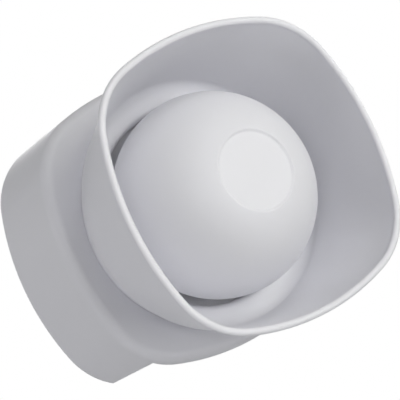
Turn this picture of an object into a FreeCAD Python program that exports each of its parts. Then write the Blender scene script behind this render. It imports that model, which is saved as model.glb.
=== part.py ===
import FreeCAD, Part
import math
import os
import Sketcher

# Wall alarm sounder: a deep base with bowed sides and a flat conduit land underneath, and a horn
# head that twists into the base's round opening. The wall plane is y = 0, +Z is up and the horn
# faces -Y, so every depth below is a distance in front of the wall. Sizes are in millimetres.

sizes = {
    # base moulding
    "baseWidth": 105.0,
    "baseBow": 97.0,
    "baseCorner": 28.0,
    "baseDraft": 0.9,
    "baseDepth": 43.5,
    "frontWall": 4.5,
    "rimRound": 3.9,
    "housingWall": 2.5,
    "floorThick": 2.5,
    "landDrop": 44.7,
    "landRise": 1.8,
    "landWall": 3.2,
    "landShy": 0.3,            # the land stops this far behind the rounded rim
    "conduitRadius": 10.25,
    "conduitPlace": 20.0,
    "conduitRecess": 1.0,
    "openingRadius": 39.6,
    "collarWall": 2.9,
    "ribWidth": 2.0,
    "fixSpacing": 60.3,
    "fixSlot": 6.0,
    "fixRadius": 2.25,
    "entryRadius": 9.0,
    # twist-in fitting
    "fitGap": 0.3,
    "lugDepth": 28.6,
    "lugThick": 2.4,
    "lugWidth": 9.0,
    "lugShy": 0.1,
    "rootOverlap": 1.0,        # how far a rib or lug runs into what carries it
    "cutRun": 1.0,             # how far a cut runs past a surface
    "ledgeWidth": 12.0,
    "ledgeThick": 2.4,
    # head moulding
    "overallDepth": 95.0,
    "mouthWidth": 103.8,
    "mouthBow": 93.5,
    "mouthCorner": 28.5,
    "beadRadius": 1.28,
    "beadStand": 1.2,
    "lipWall": 1.2,
    "neckRadius": 41.6,
    "neckLength": 1.5,
    "neckBlend": 3.0,
    "coneTuck": 0.5,
    "coneShy": 2.8,            # the neck's cone stops this far behind the horn's back ring
    "coneBlend": 16.0,
    "hornWall": 1.2,
    "flareDepth": 57.3,
    "ledgeRadius": 45.2,
    "ledgeTuck": 0.2,
    "ledgeDrop": 4.9,          # how far the ledge lies behind that ring, and the throat behind the ledge
    "ledgeBlend": 5.9,
    "throatRadius": 36.0,
    "throatDrop": 2.0,
    "throatBlend": 2.5,
    "shelfDepth": 42.0,
    "shelfThick": 2.0,
    "shelfHole": 18.5,
    "tubeRadius": 38.0,
    "tubeWall": 2.0,
    "tubeEnd": 19.5,
    "tubeStep": 36.0,
    "sealDepth": 37.8,
    "sealWidth": 1.6,
    "sealThick": 1.3,
    "postPlace": 33.0,
    "postRadius": 3.2,
    # dome over the sound outlet
    "domeRadius": 36.3,
    "domeReach": 32.7,
    "domeCentre": 64.0,
    "domeWall": 2.0,
    "domeBack": 46.0,
    "discRadius": 13.5,
    "discLevel": 93.5,
    "discSlope": 1.2,          # how far the disc's edge leans out for each mm of depth
    "domeFloor": 2.0,
    "legPlace": 26.5,
    "legRadius": 2.5,
    "domeScrewLength": 16.0,
    # sound element
    "pocketRadius": 22.0,
    "pocketWall": 2.2,
    "pocketDepth": 7.0,
    "diskRadius": 20.5,
    "diskThick": 0.3,
    "ceramicRadius": 14.0,
    "ceramicThick": 0.25,
    "seatThick": 1.2,
    "cupThick": 1.6,
    "cupRadius": 21.6,
    "cupWall": 3.0,
    "cupFlange": 29.4,
    "cupPostPlace": 27.0,
    "cupPostRadius": 2.6,
    "cupScrewLength": 6.0,
    # circuit board
    "boardDepth": 24.0,
    "boardThick": 1.6,
    "boardRadius": 35.4,
    "boardNotch": 3.7,
    "boardScrewLength": 7.0,
    "coilRadius": 5.5,
    "coilHeight": 5.2,
    "coilAcross": 12.0,
    "coilUp": 8.0,
    "canRadius": 4.0,
    "canHeight": 5.4,
    "canAcross": 12.0,
    "canUp": 10.0,
    "canPitch": 14.0,
    "chipSide": 9.0,
    "chipHeight": 1.3,
    "chipUp": 5.0,
    "headerLong": 13.0,
    "headerTall": 5.0,
    "headerHeight": 2.6,
    "headerDown": 14.0,
    "shuntHeight": 1.4,
    # small screws
    "screwRadius": 1.2,
    "screwHead": 2.1,
    "screwHeadThick": 1.6,
    "screwGap": 0.2,
    # head cover and contacts
    "coverThick": 2.5,
    "coverScrewLength": 10.0,
    "blockWidth": 34.0,
    "blockTall": 12.0,
    "blockDeep": 9.5,
    "blockPlace": 23.0,
    "wayPitch": 7.5,
    "wayScrewPlace": 20.5,
    "wayScrewRadius": 1.5,
    "wayScrewLength": 3.0,
    "wayScrewSink": 0.5,
    "wireRadius": 1.4,
    "wireReach": 6.0,
    "bladePlace": 26.5,
    "bladeTall": 4.0,
    "bladeWidth": 3.0,
    "bladeThick": 0.5,
    "plateTall": 7.0,
    "plateWidth": 5.0,
    "plateThick": 0.5,
    # rear entry seal
    "grommetFlange": 11.5,
    "grommetLip": 1.7,
    "grommetBore": 5.0,
    "membrane": 1.2,
}


class Dim:
    # A size: its number, and the expression that ties it to the sheet.
    def __init__(self, value, text):
        self.value = value
        self.text = text

    def __add__(self, other):
        return Dim(self.value + dim(other).value, "(%s + %s)" % (self.text, dim(other).text))

    def __sub__(self, other):
        return Dim(self.value - dim(other).value, "(%s - %s)" % (self.text, dim(other).text))

    def __mul__(self, other):
        return Dim(self.value * dim(other).value, "(%s * %s)" % (self.text, dim(other).text))

    def __truediv__(self, other):
        return Dim(self.value / dim(other).value, "(%s / %s)" % (self.text, dim(other).text))

    def __neg__(self):
        return Dim(-self.value, "(0 - %s)" % self.text)

    def root(self):
        return Dim(math.sqrt(self.value), "sqrt(%s)" % self.text)


def dim(number):
    return number if isinstance(number, Dim) else Dim(float(number), "(%.9g)" % number)


class Cells:
    # One Dim for each size, under the size's own name.
    pass


doc = FreeCAD.newDocument("AlarmSounder")
sheet = doc.addObject("Spreadsheet::Sheet", "Sizes")
cells = Cells()
for row, (alias, number) in enumerate(sizes.items(), start=1):
    sheet.set("A%d" % row, alias)
    sheet.set("B%d" % row, "%g" % number)
    sheet.setAlias("B%d" % row, alias)
    setattr(cells, alias, Dim(number, "Sizes." + alias))
doc.recompute()

# Sizes and depths that follow from the cells
baseHalf = cells.baseWidth / 2
frontBack = cells.baseDepth - cells.frontWall
collarRadius = cells.openingRadius + cells.collarWall
spigotRadius = cells.openingRadius - cells.fitGap
lugTop = cells.lugDepth + cells.lugThick
mouthHalf = cells.mouthWidth / 2
beadDepth = cells.overallDepth - cells.beadRadius
lipOffset = cells.beadStand
lipInset = cells.beadStand + cells.lipWall
neckTop = cells.baseDepth + cells.neckLength
flareRadius = cells.ledgeRadius + cells.hornWall
shelfBack = cells.shelfDepth - cells.shelfThick
pocketEnd = shelfBack - cells.pocketDepth
tubeInside = cells.tubeRadius - cells.tubeWall
sealFloor = cells.openingRadius - cells.sealThick
coverBack = cells.tubeEnd - cells.coverThick
boardFront = cells.boardDepth + cells.boardThick
domeFloorTop = cells.domeBack + cells.domeFloor
diskBack = shelfBack - cells.seatThick - cells.diskThick
cupRim = diskBack - cells.seatThick
blockFront = cells.floorThick + cells.blockDeep
plateBack = coverBack - cells.plateThick
parts = []


def keep(item, node):
    item.Label = node
    parts.append(item)
    return item


def newBody(name):
    return doc.addObject("PartDesign::Body", name)


def originOf(body, role):
    for feature in body.Origin.OriginFeatures:
        if feature.Role == role:
            return feature


def newSketch(body, name, role="XZ_Plane", offset=0.0):
    # A sketch on XZ_Plane faces the horn's mouth, so its offset is a depth in front of the wall.
    sketch = body.newObject("Sketcher::SketchObject", name)
    sketch.AttachmentSupport = [(originOf(body, role), "")]
    sketch.MapMode = "FlatFace"
    offset = dim(offset)
    sketch.AttachmentOffset = FreeCAD.Placement(FreeCAD.Vector(0, 0, offset.value), FreeCAD.Rotation())
    sketch.setExpression("AttachmentOffset.Base.z", offset.text)
    return sketch


def bind(sketch, kind, *arguments):
    # One dimensional constraint, whose last argument is a Dim.
    size = arguments[-1]
    index = sketch.addConstraint(Sketcher.Constraint(kind, *arguments[:-1], size.value))
    sketch.setExpression("Constraints[%d]" % index, size.text)


def pinOne(sketch, geometry, point, kind, size):
    # Ties one coordinate of a point to the origin.
    if abs(size.value) < 1e-9:
        axis = -2 if kind == "DistanceX" else -1
        sketch.addConstraint(Sketcher.Constraint("PointOnObject", geometry, point, axis))
    elif size.value > 0:
        bind(sketch, kind, -1, 1, geometry, point, size)
    else:
        bind(sketch, kind, geometry, point, -1, 1, -size)


def pin(sketch, geometry, point, across, up):
    pinOne(sketch, geometry, point, "DistanceX", dim(across))
    pinOne(sketch, geometry, point, "DistanceY", dim(up))


def addCircle(sketch, across, up, radius):
    across, up, radius = dim(across), dim(up), dim(radius)
    centre = FreeCAD.Vector(across.value, up.value, 0)
    index = sketch.addGeometry(Part.Circle(centre, FreeCAD.Vector(0, 0, 1), radius.value))
    bind(sketch, "Radius", index, radius)
    pin(sketch, index, 3, across, up)


def addOutline(sketch, corners):
    # Closed outline through corner points; a third entry rounds that corner to its radius.
    corners = [tuple(dim(entry) for entry in corner) for corner in corners]
    points = [FreeCAD.Vector(corner[0].value, corner[1].value, 0) for corner in corners]
    count = len(corners)
    starts = list(points)
    ends = list(points)
    arcs = {}
    for index, corner in enumerate(corners):
        if len(corner) < 3:
            continue
        here = points[index]
        back = (points[index - 1] - here).normalize()
        onward = (points[(index + 1) % count] - here).normalize()
        half = back.getAngle(onward) / 2
        reach = corner[2].value / math.tan(half)
        ends[index] = here + back * reach
        starts[index] = here + onward * reach
        middle = here + (back + onward).normalize() * (corner[2].value / math.sin(half))
        arcs[index] = (middle, onward.cross(back).z > 0)
    lines = []
    for index in range(count):
        lines.append(sketch.addGeometry(Part.LineSegment(starts[index], ends[(index + 1) % count])))
    for index, corner in enumerate(corners):
        last = lines[index - 1]
        following = lines[index]
        if index not in arcs:
            sketch.addConstraint(Sketcher.Constraint("Coincident", last, 2, following, 1))
            pin(sketch, following, 1, corner[0], corner[1])
            continue
        middle, leftTurn = arcs[index]
        first, second = (ends[index], starts[index]) if leftTurn else (starts[index], ends[index])
        fromAngle = math.atan2(first.y - middle.y, first.x - middle.x)
        toAngle = math.atan2(second.y - middle.y, second.x - middle.x)
        circle = Part.Circle(middle, FreeCAD.Vector(0, 0, 1), corner[2].value)
        arc = sketch.addGeometry(Part.ArcOfCircle(circle, fromAngle, toAngle))
        tip = sketch.addGeometry(Part.Point(points[index]), True)
        near, far = (1, 2) if leftTurn else (2, 1)
        sketch.addConstraint(Sketcher.Constraint("Tangent", last, 2, arc, near))
        sketch.addConstraint(Sketcher.Constraint("Tangent", following, 1, arc, far))
        bind(sketch, "Radius", arc, corner[2])
        sketch.addConstraint(Sketcher.Constraint("PointOnObject", tip, 1, last))
        sketch.addConstraint(Sketcher.Constraint("PointOnObject", tip, 1, following))
        pin(sketch, tip, 1, corner[0], corner[1])


def addRectangle(sketch, across, up, width, height):
    # Rectangle about its own centre.
    across, up, width, height = dim(across), dim(up), dim(width), dim(height)
    left, right = across - width / 2, across + width / 2
    low, high = up - height / 2, up + height / 2
    addOutline(sketch, [(left, low), (right, low), (right, high), (left, high)])


def addBar(sketch, inner, outer, width, degrees):
    # Rectangle that runs outward from the axis, from one radius to another.
    cosine, sine = math.cos(math.radians(degrees)), math.sin(math.radians(degrees))
    corners = []
    for reach, side in ((inner, -0.5), (outer, -0.5), (outer, 0.5), (inner, 0.5)):
        reach, step = dim(reach), dim(width) * side
        corners.append((reach * cosine - step * sine, reach * sine + step * cosine))
    addOutline(sketch, corners)


def cornerPlace(half, bow, corner):
    # Each corner's arc centre, across and up, where it runs tangent into both bowed sides.
    away = bow - half
    gap = bow - corner
    return ((gap * gap * 2 - away * away).root() - away) / 2


def addBowedSquare(sketch, half, bow, corner, flat=None):
    # Four bowed sides and four round corners, all tangent. With a flat, the bottom side is a level
    # line at that distance below the axis, and the lower corners stop on it.
    half, bow, corner = dim(half), dim(bow), dim(corner)
    away = bow - half
    place = cornerPlace(half, bow, corner)
    lean = math.atan2(place.value, place.value + away.value)
    cut = 0.0
    if flat is not None:
        cut = math.asin((flat.value - place.value) / corner.value)
    edges = []
    for quarter in range(4):
        turn = quarter * math.pi / 2
        if quarter == 3 and flat is not None:
            spread = place.value + corner.value * math.cos(cut)
            edges.append(sketch.addGeometry(Part.LineSegment(
                FreeCAD.Vector(-spread, -flat.value, 0), FreeCAD.Vector(spread, -flat.value, 0))))
        else:
            centre = FreeCAD.Vector(-away.value * math.cos(turn), -away.value * math.sin(turn), 0)
            side = Part.Circle(centre, FreeCAD.Vector(0, 0, 1), bow.value)
            edges.append(sketch.addGeometry(Part.ArcOfCircle(side, turn - lean, turn + lean)))
        spread = place.value * math.sqrt(2)
        diagonal = turn + math.pi / 4
        spot = FreeCAD.Vector(spread * math.cos(diagonal), spread * math.sin(diagonal), 0)
        bend = Part.Circle(spot, FreeCAD.Vector(0, 0, 1), corner.value)
        start, end = turn + lean, turn + math.pi / 2 - lean
        if flat is not None and quarter == 2:
            end = math.pi + cut
        if flat is not None and quarter == 3:
            start = 2 * math.pi - cut
        edges.append(sketch.addGeometry(Part.ArcOfCircle(bend, start, end)))
    for index, edge in enumerate(edges):
        following = edges[(index + 1) % 8]
        joint = "Coincident" if flat is not None and index in (5, 6) else "Tangent"
        sketch.addConstraint(Sketcher.Constraint(joint, edge, 2, following, 1))
    for quarter in range(4):
        bind(sketch, "Radius", edges[2 * quarter + 1], corner)
        if quarter == 3 and flat is not None:
            pinOne(sketch, edges[6], 1, "DistanceY", -flat)
            pinOne(sketch, edges[6], 2, "DistanceY", -flat)
            pinOne(sketch, edges[5], 3, "DistanceX", -place)
            pinOne(sketch, edges[7], 3, "DistanceX", place)
            continue
        across = (-away, dim(0), away, dim(0))[quarter]
        up = (dim(0), -away, dim(0), away)[quarter]
        pin(sketch, edges[2 * quarter], 3, across, up)
        bind(sketch, "Radius", edges[2 * quarter], bow)


def addSplitCircle(sketch, radius, half, bow, corner):
    # Circle in eight arcs that meet where a bowed square's arcs do, so that a loft pairs them.
    radius, half, bow, corner = dim(radius), dim(half), dim(bow), dim(corner)
    share = cornerPlace(half, bow, corner) / (bow - corner)
    lean = math.asin(share.value)
    reach = radius * share
    circle = Part.Circle(FreeCAD.Vector(0, 0, 0), FreeCAD.Vector(0, 0, 1), radius.value)
    for quarter in range(4):
        turn = quarter * math.pi / 2
        for angles in ((turn - lean, turn + lean), (turn + lean, turn + math.pi / 2 - lean)):
            arc = sketch.addGeometry(Part.ArcOfCircle(circle, *angles))
            sketch.addConstraint(Sketcher.Constraint("Coincident", arc, 3, -1, 1))
            bind(sketch, "Radius", arc, radius)
            for point, angle in enumerate(angles, start=1):
                nearAcross = abs(math.sin(angle)) < abs(math.cos(angle))
                small = math.sin(angle) if nearAcross else math.cos(angle)
                kind = "DistanceY" if nearAcross else "DistanceX"
                pinOne(sketch, arc, point, kind, reach if small > 0 else -reach)


def loft(body, name, sketches, cut=False):
    kind = "PartDesign::SubtractiveLoft" if cut else "PartDesign::AdditiveLoft"
    feature = body.newObject(kind, name)
    feature.Profile = sketches[0]
    feature.Sections = sketches[1:]
    feature.Ruled = True
    return feature


def extrude(body, name, start, end, draw, cut=False, role="XZ_Plane"):
    # Pads or pockets what draw puts in a sketch, from one offset along the plane to another.
    sketch = newSketch(body, name + "Sketch", role, start)
    draw(sketch)
    feature = body.newObject("PartDesign::Pocket" if cut else "PartDesign::Pad", name)
    feature.Profile = sketch
    feature.Reversed = cut
    length = dim(end) - start
    feature.Length = length.value
    feature.setExpression("Length", length.text)
    return feature


def spin(body, name, corners):
    # Turns an outline of radius and depth pairs about the horn's axis.
    sketch = newSketch(body, name + "Profile", "XY_Plane")
    addOutline(sketch, [(corner[0], -dim(corner[1])) + tuple(corner[2:]) for corner in corners])
    feature = body.newObject("PartDesign::Revolution", name)
    feature.Profile = sketch
    feature.ReferenceAxis = (sketch, ["V_Axis"])
    feature.Angle = 360
    return feature


def turned(node, corners):
    body = newBody(node.replace("_", " ").title().replace(" ", ""))
    spin(body, body.Name + "Turn", corners)
    return keep(body, node)


def around(radius, first, count=3):
    # Places evenly round the axis.
    angles = [math.radians(first + index * 360.0 / count) for index in range(count)]
    return [(radius * math.cos(angle), radius * math.sin(angle)) for angle in angles]


def circlesAt(places, radius):
    def draw(sketch):
        for across, up in places:
            addCircle(sketch, across, up, radius)
    return draw


def moved(body, across=0.0, depth=0.0, up=0.0):
    across, back, up = dim(across), -dim(depth), dim(up)
    body.Placement = FreeCAD.Placement(FreeCAD.Vector(across.value, back.value, up.value),
                                       FreeCAD.Rotation())
    body.setExpression("Placement.Base.x", across.text)
    body.setExpression("Placement.Base.y", back.text)
    body.setExpression("Placement.Base.z", up.text)


def screws(node, places, seat, length):
    # Screws driven toward the mouth, each with its head behind the seat.
    for number, (across, up) in enumerate(places, start=1):
        head = cells.screwHeadThick
        screw = turned("%s_%d" % (node, number), [
            (0, -head), (cells.screwHead, -head), (cells.screwHead, 0), (cells.screwRadius, 0),
            (cells.screwRadius, length), (0, length)])
        moved(screw, across, seat, up)


dome = around(cells.legPlace, 90)
cupPosts = around(cells.cupPostPlace, 30)
boardPosts = around(cells.postPlace, 90)
coverPosts = around(cells.postPlace, 30)
screwHole = cells.screwRadius + cells.screwGap

# Base moulding: bowed skirt, round cup for the head, and the conduit land underneath
base = keep(newBody("BaseHousing"), "base_housing")
wallOutline = newSketch(base, "BaseWallOutline")
addBowedSquare(wallOutline, baseHalf, cells.baseBow, cells.baseCorner)
faceOutline = newSketch(base, "BaseFaceOutline", "XZ_Plane", cells.baseDepth)
addBowedSquare(faceOutline, baseHalf - cells.baseDraft, cells.baseBow - cells.baseDraft,
               cells.baseCorner - cells.baseDraft)
skirt = loft(base, "BaseSkirt", [wallOutline, faceOutline])
doc.recompute()
front = -cells.baseDepth.value
rimEdges = ["Edge%d" % (index + 1) for index, edge in enumerate(skirt.Shape.Edges)
            if abs(edge.BoundBox.YMin - front) < 0.01 and abs(edge.BoundBox.YMax - front) < 0.01]
rim = base.newObject("PartDesign::Fillet", "BaseRim")
rim.Base = (skirt, rimEdges)
rim.Radius = cells.rimRound.value
rim.setExpression("Radius", cells.rimRound.text)
landEnd = cells.baseDepth - cells.rimRound - cells.landShy
landFront = cells.landDrop - cells.landRise
sketch = newSketch(base, "LandSketch", "YZ_Plane", -baseHalf)
addOutline(sketch, [(0, -cells.landDrop), (0, -cells.baseWidth), (-landEnd, -cells.baseWidth),
                    (-landEnd, -landFront)])
land = base.newObject("PartDesign::Pocket", "Land")
land.Profile = sketch
land.Reversed = True
land.Length = cells.baseWidth.value
land.setExpression("Length", cells.baseWidth.text)
inset = cells.housingWall
insideWall = newSketch(base, "BaseInsideWall")
addBowedSquare(insideWall, baseHalf - inset, cells.baseBow - inset, cells.baseCorner - inset,
               cells.landDrop - cells.landWall)
insetFront = inset + cells.baseDraft
insideFront = newSketch(base, "BaseInsideFront", "XZ_Plane", frontBack)
addBowedSquare(insideFront, baseHalf - insetFront, cells.baseBow - insetFront,
               cells.baseCorner - insetFront,
               cells.landDrop - cells.landWall - cells.landRise * frontBack / landEnd)
loft(base, "BaseInside", [insideWall, insideFront], cut=True)
extrude(base, "Cup", 0, frontBack, lambda sketch: addCircle(sketch, 0, 0, collarRadius))


cornerReach = cornerPlace(baseHalf, cells.baseBow, cells.baseCorner) * math.sqrt(2) + cells.baseCorner
ribReach = cornerReach - (cells.housingWall + cells.baseDraft) / 2


def ribBars(sketch):
    for quarter in range(4):
        addBar(sketch, collarRadius - cells.rootOverlap, ribReach, cells.ribWidth, 45 + 90 * quarter)


extrude(base, "Ribs", cells.floorThick, frontBack, ribBars)
extrude(base, "Opening", cells.floorThick, cells.baseDepth,
        lambda sketch: addCircle(sketch, 0, 0, cells.openingRadius), cut=True)


def ledgeBars(sketch):
    for third in range(3):
        addBar(sketch, cells.tubeRadius + cells.fitGap, cells.openingRadius + cells.rootOverlap, cells.ledgeWidth,
               90 + 120 * third)


extrude(base, "TwistLedges", lugTop, lugTop + cells.ledgeThick, ledgeBars)
slotEnds = [(cells.fixSpacing * side + cells.fixSlot * end, 0) for side in (-0.5, 0.5)
            for end in (-0.5, 0.5)]
extrude(base, "FixingEnds", 0, cells.floorThick, circlesAt(slotEnds, cells.fixRadius), cut=True)


def fixingSlots(sketch):
    for side in (-0.5, 0.5):
        addRectangle(sketch, cells.fixSpacing * side, 0, cells.fixSlot, cells.fixRadius * 2)


extrude(base, "FixingSlots", 0, cells.floorThick, fixingSlots, cut=True)
extrude(base, "RearEntry", 0, cells.floorThick,
        lambda sketch: addCircle(sketch, 0, 0, cells.entryRadius), cut=True)
knockoutTop = cells.conduitRecess - cells.landDrop + cells.landRise * cells.conduitPlace / landEnd
extrude(base, "Knockout", -cells.landDrop - cells.cutRun, knockoutTop,
        lambda sketch: addCircle(sketch, 0, -cells.conduitPlace, cells.conduitRadius),
        cut=True, role="XY_Plane")

# Head moulding: round neck and spigot, ledge and throat, then the horn out to its bead
head = keep(newBody("HornMoulding"), "horn_moulding")
sealTop = cells.sealDepth + cells.sealWidth
coneEnd = cells.flareDepth - cells.coneShy
ledgeDepth = cells.flareDepth - cells.ledgeDrop
throatDepth = ledgeDepth - cells.throatDrop
spin(head, "HeadTurn", [
    (cells.shelfHole, shelfBack), (cells.pocketRadius, shelfBack), (cells.pocketRadius, pocketEnd),
    (cells.pocketRadius + cells.pocketWall, pocketEnd),
    (cells.pocketRadius + cells.pocketWall, shelfBack), (tubeInside, shelfBack),
    (tubeInside, cells.tubeEnd), (cells.tubeRadius, cells.tubeEnd),
    (cells.tubeRadius, cells.tubeStep), (spigotRadius, cells.tubeStep),
    (spigotRadius, cells.sealDepth), (sealFloor, cells.sealDepth), (sealFloor, sealTop),
    (spigotRadius, sealTop), (spigotRadius, cells.baseDepth), (cells.neckRadius, cells.baseDepth),
    (cells.neckRadius, neckTop, cells.neckBlend),
    (flareRadius - cells.coneTuck, coneEnd, cells.coneBlend),
    (flareRadius, cells.flareDepth), (cells.ledgeRadius, cells.flareDepth),
    (cells.ledgeRadius - cells.ledgeTuck, ledgeDepth, cells.ledgeBlend),
    (cells.throatRadius, throatDepth, cells.throatBlend),
    (cells.throatRadius, cells.shelfDepth), (cells.shelfHole, cells.shelfDepth)])
hornWalls = []
for name, radius, offset in (("Outer", flareRadius, lipOffset),
                             ("Inner", cells.ledgeRadius, lipInset)):
    half, bow, corner = mouthHalf - offset, cells.mouthBow - offset, cells.mouthCorner - offset
    ringSketch = newSketch(head, name + "Ring", "XZ_Plane", cells.flareDepth)
    addSplitCircle(ringSketch, radius, half, bow, corner)
    lipSketch = newSketch(head, name + "Lip", "XZ_Plane", beadDepth)
    addBowedSquare(lipSketch, half, bow, corner)
    hornWalls.append(loft(head, "Horn" + name, [ringSketch, lipSketch], cut=name == "Inner"))
beadHalf = mouthHalf - cells.beadRadius
beadPath = newSketch(head, "BeadPath", "XZ_Plane", beadDepth)
addBowedSquare(beadPath, beadHalf, cells.mouthBow - cells.beadRadius, cells.mouthCorner - cells.beadRadius)
beadProfile = newSketch(head, "BeadProfile", "XY_Plane")
addCircle(beadProfile, beadHalf, -beadDepth, cells.beadRadius)
bead = head.newObject("PartDesign::AdditivePipe", "Bead")
bead.Profile = beadProfile
bead.Spine = beadPath


def lugBars(sketch):
    for third in range(3):
        addBar(sketch, tubeInside + cells.rootOverlap, spigotRadius - cells.lugShy, cells.lugWidth, 90 + 120 * third)


extrude(head, "TwistLugs", cells.lugDepth, lugTop, lugBars)
extrude(head, "CupPosts", pocketEnd, shelfBack, circlesAt(cupPosts, cells.cupPostRadius))
extrude(head, "BoardPosts", boardFront, shelfBack, circlesAt(boardPosts, cells.postRadius))
extrude(head, "CoverPosts", cells.tubeEnd, shelfBack, circlesAt(coverPosts, cells.postRadius))
extrude(head, "CupPilots", pocketEnd, pocketEnd + cells.cupScrewLength,
        circlesAt(cupPosts, cells.screwRadius), cut=True)
extrude(head, "BoardPilots", boardFront, boardFront + cells.boardScrewLength,
        circlesAt(boardPosts, cells.screwRadius), cut=True)
extrude(head, "CoverPilots", cells.tubeEnd, cells.tubeEnd + cells.coverScrewLength,
        circlesAt(coverPosts, cells.screwRadius), cut=True)
extrude(head, "DomeHoles", shelfBack, cells.shelfDepth, circlesAt(dome, screwHole), cut=True)

# Ring seal between the spigot and the base's cup
turned("neck_seal", [(sealFloor, cells.sealDepth), (cells.openingRadius, cells.sealDepth),
                     (cells.openingRadius, sealTop), (sealFloor, sealTop)])


def primitive(kind, name, across=0.0, depth=0.0, up=0.0, **measures):
    # A Part primitive that faces the mouth.
    item = doc.addObject("Part::" + kind, name)
    for key, size in measures.items():
        setattr(item, key, dim(size).value)
        item.setExpression(key, dim(size).text)
    item.Placement = FreeCAD.Placement(FreeCAD.Vector(0, 0, 0),
                                       FreeCAD.Rotation(FreeCAD.Vector(1, 0, 0), 90))
    item.setExpression("Placement.Base.x", dim(across).text)
    item.setExpression("Placement.Base.y", (-dim(depth)).text)
    item.setExpression("Placement.Base.z", dim(up).text)
    return item


def combine(kind, name, first, *others):
    item = doc.addObject("Part::" + kind, name)
    if kind in ("Cut", "Common"):
        item.Base = first
        item.Tool = others[0]
    else:
        item.Shapes = [first] + list(others)
    return item


# Dome: a spheroid shell with a flat disc sunk in its crown and three posts for its screws
outerDome = primitive("Ellipsoid", "DomeOuter", depth=cells.domeCentre, Radius1=cells.domeReach,
                      Radius2=cells.domeRadius, Radius3=cells.domeRadius)
innerDome = primitive("Ellipsoid", "DomeInner", depth=cells.domeCentre,
                      Radius1=cells.domeReach - cells.domeWall,
                      Radius2=cells.domeRadius - cells.domeWall,
                      Radius3=cells.domeRadius - cells.domeWall)
crown = cells.domeCentre + cells.domeReach + cells.cutRun
frontPart = primitive("Cylinder", "DomeFront", depth=cells.domeBack, Radius=cells.domeRadius + cells.cutRun,
                      Height=crown - cells.domeBack)
hollowPart = primitive("Cylinder", "DomeHollow", depth=cells.domeBack - cells.cutRun,
                       Radius=cells.domeRadius + cells.cutRun,
                       Height=cells.discLevel - cells.domeWall - cells.domeBack + cells.cutRun)
postSolids = []
for number, (across, up) in enumerate(dome, start=1):
    postSolids.append(primitive("Cylinder", "DomePost%d" % number, across, domeFloorTop, up,
                                Radius=cells.legRadius, Height=crown - domeFloorTop))
shell = combine("Cut", "DomeShell", combine("Common", "DomeKept", outerDome, frontPart),
                combine("Common", "DomeCavity", innerDome, hollowPart))
posts = combine("Common", "DomePosts", combine("MultiFuse", "DomePostBars", *postSolids), innerDome)
filled = combine("MultiFuse", "DomeFilled", shell, posts)
discCut = primitive("Cone", "DomeDisc", depth=cells.discLevel, Radius1=cells.discRadius,
                    Radius2=cells.discRadius + cells.discSlope * (crown - cells.discLevel),
                    Height=crown - cells.discLevel)
pilots = []
for number, (across, up) in enumerate(dome, start=1):
    pilots.append(primitive("Cylinder", "DomePilot%d" % number, across, cells.domeBack - cells.cutRun, up,
                            Radius=cells.screwRadius,
                            Height=cells.domeScrewLength + shelfBack - cells.domeBack + cells.cutRun))
keep(combine("Cut", "DomeCap", filled, combine("MultiFuse", "DomeCuts", discCut, *pilots)), "dome_cap")

# Dome floor on three legs, which leave the slot where the sound comes out
ratio = (cells.domeCentre - cells.domeBack) / (cells.domeReach - cells.domeWall)
insideBack = (cells.domeRadius - cells.domeWall) * (-(ratio * ratio) + 1).root()
floor = keep(newBody("DomeFloor"), "dome_floor")
extrude(floor, "DomeDiscPad", cells.domeBack, domeFloorTop,
        lambda sketch: addCircle(sketch, 0, 0, insideBack - cells.fitGap))
extrude(floor, "DomeLegs", cells.shelfDepth, cells.domeBack, circlesAt(dome, cells.legRadius))
extrude(floor, "DomeLegHoles", cells.shelfDepth, domeFloorTop, circlesAt(dome, screwHole), cut=True)
screws("dome_screw", dome, shelfBack, cells.domeScrewLength)

# Sound element between two soft seats, closed by a cup
turned("front_seat", [(cells.shelfHole, shelfBack - cells.seatThick),
                      (cells.diskRadius, shelfBack - cells.seatThick),
                      (cells.diskRadius, shelfBack), (cells.shelfHole, shelfBack)])
turned("sound_disk", [(0, diskBack), (cells.diskRadius, diskBack),
                      (cells.diskRadius, diskBack + cells.diskThick), (0, diskBack + cells.diskThick)])
turned("ceramic_wafer", [(0, diskBack - cells.ceramicThick), (cells.ceramicRadius, diskBack - cells.ceramicThick),
                         (cells.ceramicRadius, diskBack), (0, diskBack)])
turned("rear_seat", [(cells.shelfHole, cupRim), (cells.diskRadius, cupRim),
                     (cells.diskRadius, diskBack), (cells.shelfHole, diskBack)])
cup = newBody("DriverCup")
spin(cup, "DriverCupTurn", [
    (0, pocketEnd - cells.cupThick), (cells.cupFlange, pocketEnd - cells.cupThick),
    (cells.cupFlange, pocketEnd), (cells.cupRadius, pocketEnd), (cells.cupRadius, cupRim),
    (cells.cupRadius - cells.cupWall, cupRim), (cells.cupRadius - cells.cupWall, pocketEnd), (0, pocketEnd)])
extrude(cup, "DriverCupHoles", pocketEnd - cells.cupThick, pocketEnd, circlesAt(cupPosts, screwHole), cut=True)
keep(cup, "driver_cup")
screws("cup_screw", cupPosts, pocketEnd - cells.cupThick, cells.cupScrewLength + cells.cupThick)

# Circuit board, notched round the cover's posts, with its parts
board = keep(newBody("CircuitBoard"), "circuit_board")
extrude(board, "BoardPad", cells.boardDepth, boardFront,
        lambda sketch: addCircle(sketch, 0, 0, cells.boardRadius))
extrude(board, "BoardNotches", cells.boardDepth, boardFront, circlesAt(coverPosts, cells.boardNotch), cut=True)
extrude(board, "BoardHoles", cells.boardDepth, boardFront, circlesAt(boardPosts, screwHole), cut=True)
screws("board_screw", boardPosts, cells.boardDepth, cells.boardScrewLength + cells.boardThick)


def plainPad(node, start, end, draw):
    body = newBody(node.replace("_", " ").title().replace(" ", ""))
    extrude(body, body.Name + "Pad", start, end, draw)
    return keep(body, node)


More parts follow.
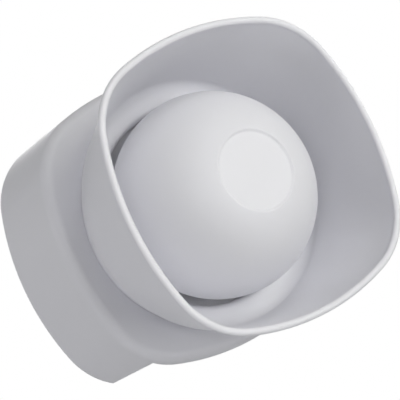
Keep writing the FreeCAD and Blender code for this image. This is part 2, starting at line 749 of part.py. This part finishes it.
plainPad("output_coil", boardFront, boardFront + cells.coilHeight,
         lambda sketch: addCircle(sketch, cells.coilAcross, cells.coilUp, cells.coilRadius))
plainPad("capacitor_1", boardFront, boardFront + cells.canHeight,
         lambda sketch: addCircle(sketch, -cells.canAcross, cells.canUp, cells.canRadius))
plainPad("capacitor_2", boardFront, boardFront + cells.canHeight,
         lambda sketch: addCircle(sketch, -cells.canAcross, cells.canUp - cells.canPitch,
                                      cells.canRadius))
plainPad("control_chip", cells.boardDepth - cells.chipHeight, cells.boardDepth,
         lambda sketch: addRectangle(sketch, 0, cells.chipUp, cells.chipSide, cells.chipSide))
headerBack = cells.boardDepth - cells.headerHeight
plainPad("link_header", headerBack, cells.boardDepth,
         lambda sketch: addRectangle(sketch, 0, -cells.headerDown, cells.headerLong, cells.headerTall))
for number, side in ((1, -0.3), (2, 0.3)):
    plainPad("link_shunt_%d" % number, headerBack - cells.shuntHeight, headerBack,
             lambda sketch: addRectangle(sketch, cells.headerLong * side, -cells.headerDown,
                                         cells.headerTall / 2, cells.headerTall))

# Head cover with its screws and contact plates
cover = keep(newBody("HeadCover"), "head_cover")
extrude(cover, "CoverPad", coverBack, cells.tubeEnd, lambda sketch: addCircle(sketch, 0, 0, cells.tubeRadius))
extrude(cover, "CoverHoles", coverBack, cells.tubeEnd, circlesAt(coverPosts, screwHole), cut=True)
screws("cover_screw", coverPosts, coverBack, cells.coverScrewLength + cells.coverThick)

# Terminal block on the cup's floor, and the spring blades that meet the head's plates
block = keep(newBody("TerminalBlock"), "terminal_block")
extrude(block, "BlockPad", cells.floorThick, blockFront,
        lambda sketch: addRectangle(sketch, 0, cells.blockPlace, cells.blockWidth, cells.blockTall))
ways = [cells.wayPitch * step for step in (-1.5, -0.5, 0.5, 1.5)]
screwBottom = blockFront - cells.wayScrewLength - cells.wayScrewSink
extrude(block, "WayHoles", screwBottom, blockFront,
        circlesAt([(way, cells.wayScrewPlace) for way in ways], cells.wayScrewRadius), cut=True)
blockUnder = cells.blockPlace - cells.blockTall / 2
wireDepth = cells.floorThick + cells.wireRadius * 2
extrude(block, "WireHoles", blockUnder, blockUnder + cells.wireReach,
        circlesAt([(way, -wireDepth) for way in ways], cells.wireRadius), cut=True, role="XY_Plane")
for number, way in enumerate(ways, start=1):
    screw = turned("terminal_screw_%d" % number, [
        (0, 0), (cells.wayScrewRadius, 0), (cells.wayScrewRadius, cells.wayScrewLength),
        (0, cells.wayScrewLength)])
    moved(screw, way, screwBottom, cells.wayScrewPlace)
    blade = newBody("ContactBlade%d" % number)
    low, high = cells.bladePlace - cells.bladeTall / 2, cells.bladePlace + cells.bladeTall / 2
    thin = cells.bladeThick
    sketch = newSketch(blade, "ContactBladeSketch%d" % number, "YZ_Plane", way - cells.bladeWidth / 2)
    addOutline(sketch, [(-blockFront, low), (-blockFront, high), (-plateBack, high),
                        (-plateBack, low), (-plateBack + thin, low), (-plateBack + thin, high - thin),
                        (-blockFront - thin, high - thin), (-blockFront - thin, low)])
    strip = blade.newObject("PartDesign::Pad", "ContactBladePad%d" % number)
    strip.Profile = sketch
    strip.Length = cells.bladeWidth.value
    strip.setExpression("Length", cells.bladeWidth.text)
    keep(blade, "contact_blade_%d" % number)
    plainPad("contact_plate_%d" % number, plateBack, coverBack,
             lambda sketch: addRectangle(sketch, way, cells.bladePlace, cells.plateWidth, cells.plateTall))

# Seal in the rear cable entry
turned("cable_grommet", [
    (0, 0), (cells.entryRadius, 0), (cells.entryRadius, cells.floorThick),
    (cells.grommetFlange, cells.floorThick), (cells.grommetFlange, cells.floorThick + cells.grommetLip),
    (cells.grommetBore, cells.floorThick + cells.grommetLip), (cells.grommetBore, cells.membrane),
    (0, cells.membrane)])

doc.recompute()
faults = [item.Name for item in doc.Objects if "Invalid" in item.State or "Error" in item.State]
for item in parts:
    if item.Shape.isNull() or not item.Shape.isValid() or len(item.Shape.Solids) != 1:
        faults.append(item.Label)
if faults:
    raise RuntimeError("not built: " + ", ".join(faults))
os.makedirs("parts", exist_ok=True)
for item in parts:
    item.Shape.exportStep("parts/%s.step" % item.Label)
print("%d pieces" % len(parts))
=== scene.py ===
# Alarm sounder in pale grey ABS: a deep bowed base on the wall, and a horn head with a domed centre.
# Lengths are in metres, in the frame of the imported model: y = 0 is the wall and the horn faces -Y.
# The materials give theirs in millimetres.
import bpy
import math
from mathutils import Matrix, Vector

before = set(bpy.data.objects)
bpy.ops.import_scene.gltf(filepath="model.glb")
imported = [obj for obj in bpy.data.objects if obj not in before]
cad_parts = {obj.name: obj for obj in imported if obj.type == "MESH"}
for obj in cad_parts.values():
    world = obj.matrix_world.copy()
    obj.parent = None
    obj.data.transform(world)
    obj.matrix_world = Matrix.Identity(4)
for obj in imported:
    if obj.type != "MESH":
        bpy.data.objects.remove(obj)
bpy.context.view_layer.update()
print("stage: frame loaded,", len(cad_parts), "nodes")


def fromHex(text):
    # sRGB hex to the linear colour that a shader takes
    parts = [int(text[i:i + 2], 16) / 255 for i in (1, 3, 5)]
    return [c / 12.92 if c <= 0.04045 else ((c + 0.055) / 1.055) ** 2.4 for c in parts] + [1.0]


def addNode(tree, kind, settings=None, links=None):
    # one node, with its settings by name and its inputs linked from other nodes' sockets
    node = tree.nodes.new(kind)
    for key, value in (settings or {}).items():
        if isinstance(key, int) or key in node.inputs:
            node.inputs[key].default_value = value
        else:
            setattr(node, key, value)
    for key, socket in (links or {}).items():
        tree.links.new(socket, node.inputs[key])
    return node


def newMaterial(name):
    material = bpy.data.materials.new(name)
    material.use_nodes = True
    tree = material.node_tree
    tree.nodes.clear()
    shader = addNode(tree, "ShaderNodeBsdfPrincipled")
    addNode(tree, "ShaderNodeOutputMaterial", links={"Surface": shader.outputs["BSDF"]})
    return material, tree, shader


# Moulded ABS, spark-eroded mould: an even satin with a fine grain. Soft, wide highlights, and a very
# slight mottle where the melt flowed. The grain is really about 0.1 mm, and drawn at 0.35 mm to show.
# Light travels a little way in the pale plastic, and the mould's edges are softened.
absPlastic = {
    "horn": "#e8e8ed",
    "base": "#e6e6eb",
    "mottle": 0.012,
    "mottleSize": 22.0,
    "grainSize": 0.35,
    "grainHeight": 0.006,
    "roughness": 0.5,
    "roughSpread": 0.04,
    "ior": 1.54,
    "edgeRound": 0.9,
    "edgeSamples": 6,
    "glow": 0.3,
    "glowDepth": 1.5,
}


def mouldedAbs(name, colour, settings):
    material, tree, shader = newMaterial(name)
    place = addNode(tree, "ShaderNodeTexCoord")
    flow = addNode(tree, "ShaderNodeTexNoise",
                   {"Scale": 1000 / settings["mottleSize"], "Detail": 3.0, "Roughness": 0.5},
                   {"Vector": place.outputs["Object"]})
    tone = fromHex(colour)
    darker = [c * (1 - settings["mottle"]) for c in tone[:3]] + [1.0]
    lighter = [min(1, c * (1 + settings["mottle"])) for c in tone[:3]] + [1.0]
    # a colour mix has its colours at inputs 6 and 7, and its result at output 2
    blend = addNode(tree, "ShaderNodeMix", {"data_type": "RGBA", 6: darker, 7: lighter},
                    {"Factor": flow.outputs["Fac"]})
    tree.links.new(blend.outputs[2], shader.inputs["Base Color"])
    grain = addNode(tree, "ShaderNodeTexNoise",
                    {"Scale": 1000 / settings["grainSize"], "Detail": 1.0, "Roughness": 0.4},
                    {"Vector": place.outputs["Object"]})
    rough = addNode(tree, "ShaderNodeMapRange",
                    {"To Min": settings["roughness"] - settings["roughSpread"],
                     "To Max": settings["roughness"] + settings["roughSpread"]},
                    {"Value": flow.outputs["Fac"]})
    tree.links.new(rough.outputs["Result"], shader.inputs["Roughness"])
    bump = addNode(tree, "ShaderNodeBump",
                   {"Strength": 1.0, "Distance": settings["grainHeight"] / 1000},
                   {"Height": grain.outputs["Fac"]})
    if "edgeRound" in settings:
        edges = addNode(tree, "ShaderNodeBevel", {"samples": settings["edgeSamples"],
                                                  "Radius": settings["edgeRound"] / 1000})
        tree.links.new(edges.outputs["Normal"], bump.inputs["Normal"])
    tree.links.new(bump.outputs["Normal"], shader.inputs["Normal"])
    shader.inputs["IOR"].default_value = settings["ior"]
    if "glow" in settings:
        shader.inputs["Subsurface Weight"].default_value = settings["glow"]
        shader.inputs["Subsurface Radius"].default_value = (1.0, 1.0, 1.0)
        shader.inputs["Subsurface Scale"].default_value = settings["glowDepth"] / 1000
    return material


# Glass-filled black nylon and ABS inside the head: dull, with a coarse mould grain
innerPlastic = {
    "colour": "#26262a", "mottle": 0.10, "mottleSize": 9.0, "grainSize": 0.3, "grainHeight": 0.012,
    "roughness": 0.5, "roughSpread": 0.06, "ior": 1.53,
}
# Moulded epoxy and PBT on the board's parts: darker and glossier than the casing
partPlastic = {
    "colour": "#17181b", "mottle": 0.08, "mottleSize": 4.0, "grainSize": 0.15, "grainHeight": 0.003,
    "roughness": 0.3, "roughSpread": 0.05, "ior": 1.55,
}
# EPDM rubber, compression moulded: matt black that greys a little where it was dusted with talc
sealRubber = {
    "colour": "#1d1d1e", "mottle": 0.25, "mottleSize": 6.0, "grainSize": 0.4, "grainHeight": 0.01,
    "roughness": 0.75, "roughSpread": 0.08, "ior": 1.52,
}
# Lead zirconate titanate wafer with a fired silver face: pale, dry and slightly patchy
silveredCeramic = {
    "colour": "#c9c6bd", "mottle": 0.06, "mottleSize": 3.0, "grainSize": 0.2, "grainHeight": 0.004,
    "roughness": 0.55, "roughSpread": 0.05, "ior": 1.6,
}
# Glass-epoxy laminate under green solder resist: the 0.4 mm weave shows faintly through the gloss
boardLaminate = {
    "resist": "#1c5c34", "weaveLight": "#24683d", "threadSpacing": 0.4, "threadWander": 0.4,
    "weaveHeight": 0.01, "weaveStrength": 0.6, "roughness": 0.3, "ior": 1.52,
}
# Half-hard brass strip, rolled: fine lines along the strip, and slightly browned
rolledBrass = {
    "colour": "#c9a45c", "tarnish": "#a9813f", "cloudSize": 2.86, "cloudFrom": 0.35, "cloudTo": 0.6,
    "lineSpacing": 0.12, "lineStretch": 0.06, "lineHeight": 0.002, "lineStrength": 0.5,
    "roughness": 0.28, "smoother": 0.06, "rougher": 0.1,
}
# Bright zinc plate on turned steel screws: cool grey, a little cloudy
zincSteel = {
    "colour": "#b9bcc0", "tarnish": "#9a9ea3", "cloudSize": 2.86, "cloudFrom": 0.35, "cloudTo": 0.6,
    "lineSpacing": 0.2, "lineStretch": 0.06, "lineHeight": 0.002, "lineStrength": 0.5,
    "roughness": 0.34, "smoother": 0.06, "rougher": 0.1,
}


def wovenLaminate(name, settings):
    material, tree, shader = newMaterial(name)
    place = addNode(tree, "ShaderNodeTexCoord")
    heights = []
    # at scale 1 the wave texture turns through 20 radians in each metre
    threadScale = 2 * math.pi / 20 * 1000 / settings["threadSpacing"]
    for direction in ("X", "Z"):
        heights.append(addNode(tree, "ShaderNodeTexWave",
                               {"wave_type": "BANDS", "bands_direction": direction,
                                "Scale": threadScale, "Distortion": settings["threadWander"]},
                               {"Vector": place.outputs["Object"]}))
    weave = addNode(tree, "ShaderNodeMath", {"operation": "MULTIPLY"},
                    {0: heights[0].outputs["Fac"], 1: heights[1].outputs["Fac"]})
    tone = addNode(tree, "ShaderNodeValToRGB", links={"Fac": weave.outputs[0]})
    tone.color_ramp.elements[0].color = fromHex(settings["resist"])
    tone.color_ramp.elements[1].color = fromHex(settings["weaveLight"])
    tree.links.new(tone.outputs["Color"], shader.inputs["Base Color"])
    bump = addNode(tree, "ShaderNodeBump",
                   {"Strength": settings["weaveStrength"],
                    "Distance": settings["weaveHeight"] / 1000},
                   {"Height": weave.outputs[0]})
    tree.links.new(bump.outputs["Normal"], shader.inputs["Normal"])
    shader.inputs["Roughness"].default_value = settings["roughness"]
    shader.inputs["IOR"].default_value = settings["ior"]
    return material


def workedMetal(name, settings):
    material, tree, shader = newMaterial(name)
    place = addNode(tree, "ShaderNodeTexCoord")
    stretch = addNode(tree, "ShaderNodeMapping", {"Scale": (1.0, settings["lineStretch"], 1.0)},
                      {"Vector": place.outputs["Object"]})
    lines = addNode(tree, "ShaderNodeTexNoise",
                    {"Scale": 1000 / settings["lineSpacing"], "Detail": 2.0},
                    {"Vector": stretch.outputs["Vector"]})
    cloud = addNode(tree, "ShaderNodeTexNoise",
                    {"Scale": 1000 / settings["cloudSize"], "Detail": 3.0},
                    {"Vector": place.outputs["Object"]})
    tone = addNode(tree, "ShaderNodeValToRGB", links={"Fac": cloud.outputs["Fac"]})
    tone.color_ramp.elements[0].position = settings["cloudFrom"]
    tone.color_ramp.elements[0].color = fromHex(settings["tarnish"])
    tone.color_ramp.elements[1].position = settings["cloudTo"]
    tone.color_ramp.elements[1].color = fromHex(settings["colour"])
    tree.links.new(tone.outputs["Color"], shader.inputs["Base Color"])
    rough = addNode(tree, "ShaderNodeMapRange",
                    {"To Min": settings["roughness"] - settings["smoother"],
                     "To Max": settings["roughness"] + settings["rougher"]},
                    {"Value": cloud.outputs["Fac"]})
    tree.links.new(rough.outputs["Result"], shader.inputs["Roughness"])
    bump = addNode(tree, "ShaderNodeBump",
                   {"Strength": settings["lineStrength"], "Distance": settings["lineHeight"] / 1000},
                   {"Height": lines.outputs["Fac"]})
    tree.links.new(bump.outputs["Normal"], shader.inputs["Normal"])
    shader.inputs["Metallic"].default_value = 1.0
    return material


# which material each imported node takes
hornAbs = mouldedAbs("moulded abs horn", absPlastic["horn"], absPlastic)
baseAbs = mouldedAbs("moulded abs base", absPlastic["base"], absPlastic)
innerNylon = mouldedAbs("black nylon", innerPlastic["colour"], innerPlastic)
partEpoxy = mouldedAbs("moulded epoxy", partPlastic["colour"], partPlastic)
rubber = mouldedAbs("epdm rubber", sealRubber["colour"], sealRubber)
ceramic = mouldedAbs("silvered ceramic", silveredCeramic["colour"], silveredCeramic)
laminate = wovenLaminate("green board laminate", boardLaminate)
brass = workedMetal("rolled brass", rolledBrass)
zinc = workedMetal("zinc plated steel", zincSteel)
finishes = {
    hornAbs: ["horn_moulding", "dome_cap", "dome_floor"],
    baseAbs: ["base_housing"],
    innerNylon: ["driver_cup", "head_cover", "terminal_block"],
    partEpoxy: ["output_coil", "capacitor_", "control_chip", "link_header", "link_shunt_"],
    rubber: ["neck_seal", "front_seat", "rear_seat", "cable_grommet"],
    ceramic: ["ceramic_wafer"],
    laminate: ["circuit_board"],
    brass: ["sound_disk", "contact_blade_", "contact_plate_"],
    zinc: ["dome_screw_", "cup_screw_", "board_screw_", "cover_screw_", "terminal_screw_"],
}
for material, names in finishes.items():
    for node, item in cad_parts.items():
        if any(node.startswith(name) for name in names):
            item.data.materials.clear()
            item.data.materials.append(material)
print("stage: materials on")

stage = {
    "floorDrop": 1.6,        # m below the axis: the sounder hangs on a wall, well clear of the floor
    "floorHalf": 3.0,        # m
    "floorColour": "#f2f2f2",
    "floorRoughness": 0.9,
    "floorLift": 0.96,       # what makes the floor white where it is seen
    "camera": (-0.2437, -0.4599, -0.0264),
    "aimAt": (-0.01791, -0.08312, -0.00085),
    "roll": -25.69,          # degrees, because the photo was taken tilted
    "lens": 121.05,          # mm
    "sensor": 36.0,          # mm
    "nearestSeen": 0.02,
    "lampsAimAt": (0.0, -0.06, 0.0),
    # where each lamp stands, its width in metres and its power in watts. The last two light the
    # sides that the photo hides.
    "lamps": {
        "key": {"place": (0.24, -1.34, 0.01), "size": 0.5, "power": 3.3, "tint": "#fffffa"},
        "soft front": {"place": (0.05, -1.31, 0.30), "size": 1.4, "power": 4.8, "tint": "#fffffa"},
        "front right": {"place": (0.63, -1.10, 0.45), "size": 0.5, "power": 2.1, "tint": "#fffff3"},
        "front left": {"place": (-0.70, -1.15, 0.09), "size": 0.5, "power": 1.9},
        "front low": {"place": (0.41, -1.20, -0.48), "size": 0.5, "power": 3.0},
        "top": {"place": (0.38, -0.87, 0.94), "size": 0.5, "power": 2.2, "tint": "#f9f9ff"},
        "left low": {"place": (-1.10, -0.19, -0.67), "size": 0.5, "power": 2.7, "tint": "#fbfbff"},
        "left": {"place": (-1.26, 0.10, 0.26), "size": 0.3, "power": 2.5},
        "behind left": {"place": (-0.90, 0.80, 0.37), "size": 0.5, "power": 1.1},
        "right": {"place": (1.20, 0.30, 0.20), "size": 0.6, "power": 4.5},
        "behind": {"place": (0.45, 1.15, 0.25), "size": 0.6, "power": 5.0},
    },
}


def seenDirectly(tree):
    # 1 for what the camera sees, straight, in a gloss or through glass, and 0 for light on the object
    rays = addNode(tree, "ShaderNodeLightPath")
    either = addNode(tree, "ShaderNodeMath", {"operation": "MAXIMUM"},
                     {0: rays.outputs["Is Camera Ray"], 1: rays.outputs["Is Glossy Ray"]})
    return addNode(tree, "ShaderNodeMath", {"operation": "MAXIMUM"},
                   {0: either.outputs[0], 1: rays.outputs["Is Transmission Ray"]}).outputs[0]


def buildWorld():
    # white where it is seen, and no light on the object, which the lamps give
    world = bpy.data.worlds.new("studio")
    bpy.context.scene.world = world
    world.use_nodes = True
    tree = world.node_tree
    tree.nodes.clear()
    white = addNode(tree, "ShaderNodeBackground", {"Color": (1, 1, 1, 1)},
                    {"Strength": seenDirectly(tree)})
    addNode(tree, "ShaderNodeOutputWorld", links={"Surface": white.outputs[0]})


def buildFloor():
    mesh = bpy.data.meshes.new("floor")
    half, low = stage["floorHalf"], -stage["floorDrop"]
    mesh.from_pydata([(-half, -half, low), (half, -half, low), (half, half, low), (-half, half, low)],
                     [], [(0, 1, 2, 3)])
    floor = bpy.data.objects.new("floor", mesh)
    bpy.context.scene.collection.objects.link(floor)
    # matt floor paint: the lift makes it white where it is seen, and a shadow on it still shows
    material, tree, shader = newMaterial("pale floor paint")
    shader.inputs["Base Color"].default_value = fromHex(stage["floorColour"])
    shader.inputs["Roughness"].default_value = stage["floorRoughness"]
    lift = addNode(tree, "ShaderNodeMath", {"operation": "MULTIPLY", 1: stage["floorLift"]},
                   {0: seenDirectly(tree)})
    glow = addNode(tree, "ShaderNodeEmission", {"Color": (1, 1, 1, 1)},
                   {"Strength": lift.outputs[0]})
    both = addNode(tree, "ShaderNodeAddShader")
    tree.links.new(shader.outputs[0], both.inputs[0])
    tree.links.new(glow.outputs[0], both.inputs[1])
    tree.links.new(both.outputs[0], tree.nodes["Material Output"].inputs["Surface"])
    mesh.materials.append(material)


def addLamps():
    middle = Vector(stage["lampsAimAt"])
    for name, lamp in stage["lamps"].items():
        data = bpy.data.lights.new(name, "AREA")
        data.shape = "DISK"
        data.size = lamp["size"]
        data.energy = lamp["power"]
        data.color = fromHex(lamp.get("tint", "#ffffff"))[:3]
        item = bpy.data.objects.new(name, data)
        bpy.context.scene.collection.objects.link(item)
        item.location = lamp["place"]
        item.rotation_euler = (middle - item.location).to_track_quat("-Z", "Y").to_euler()


def addCamera():
    data = bpy.data.cameras.new("camera")
    data.sensor_width = stage["sensor"]
    data.lens = stage["lens"]
    data.clip_start = stage["nearestSeen"]
    item = bpy.data.objects.new("camera", data)
    bpy.context.scene.collection.objects.link(item)
    place = Vector(stage["camera"])
    turn = (Vector(stage["aimAt"]) - place).to_track_quat("-Z", "Y").to_matrix().to_4x4()
    roll = Matrix.Rotation(math.radians(stage["roll"]), 4, "Z")
    item.matrix_world = Matrix.Translation(place) @ turn @ roll
    bpy.context.scene.camera = item


buildWorld()
buildFloor()
addLamps()
addCamera()
bpy.context.scene.view_settings.view_transform = "Standard"
print("stage: lamps and camera placed")
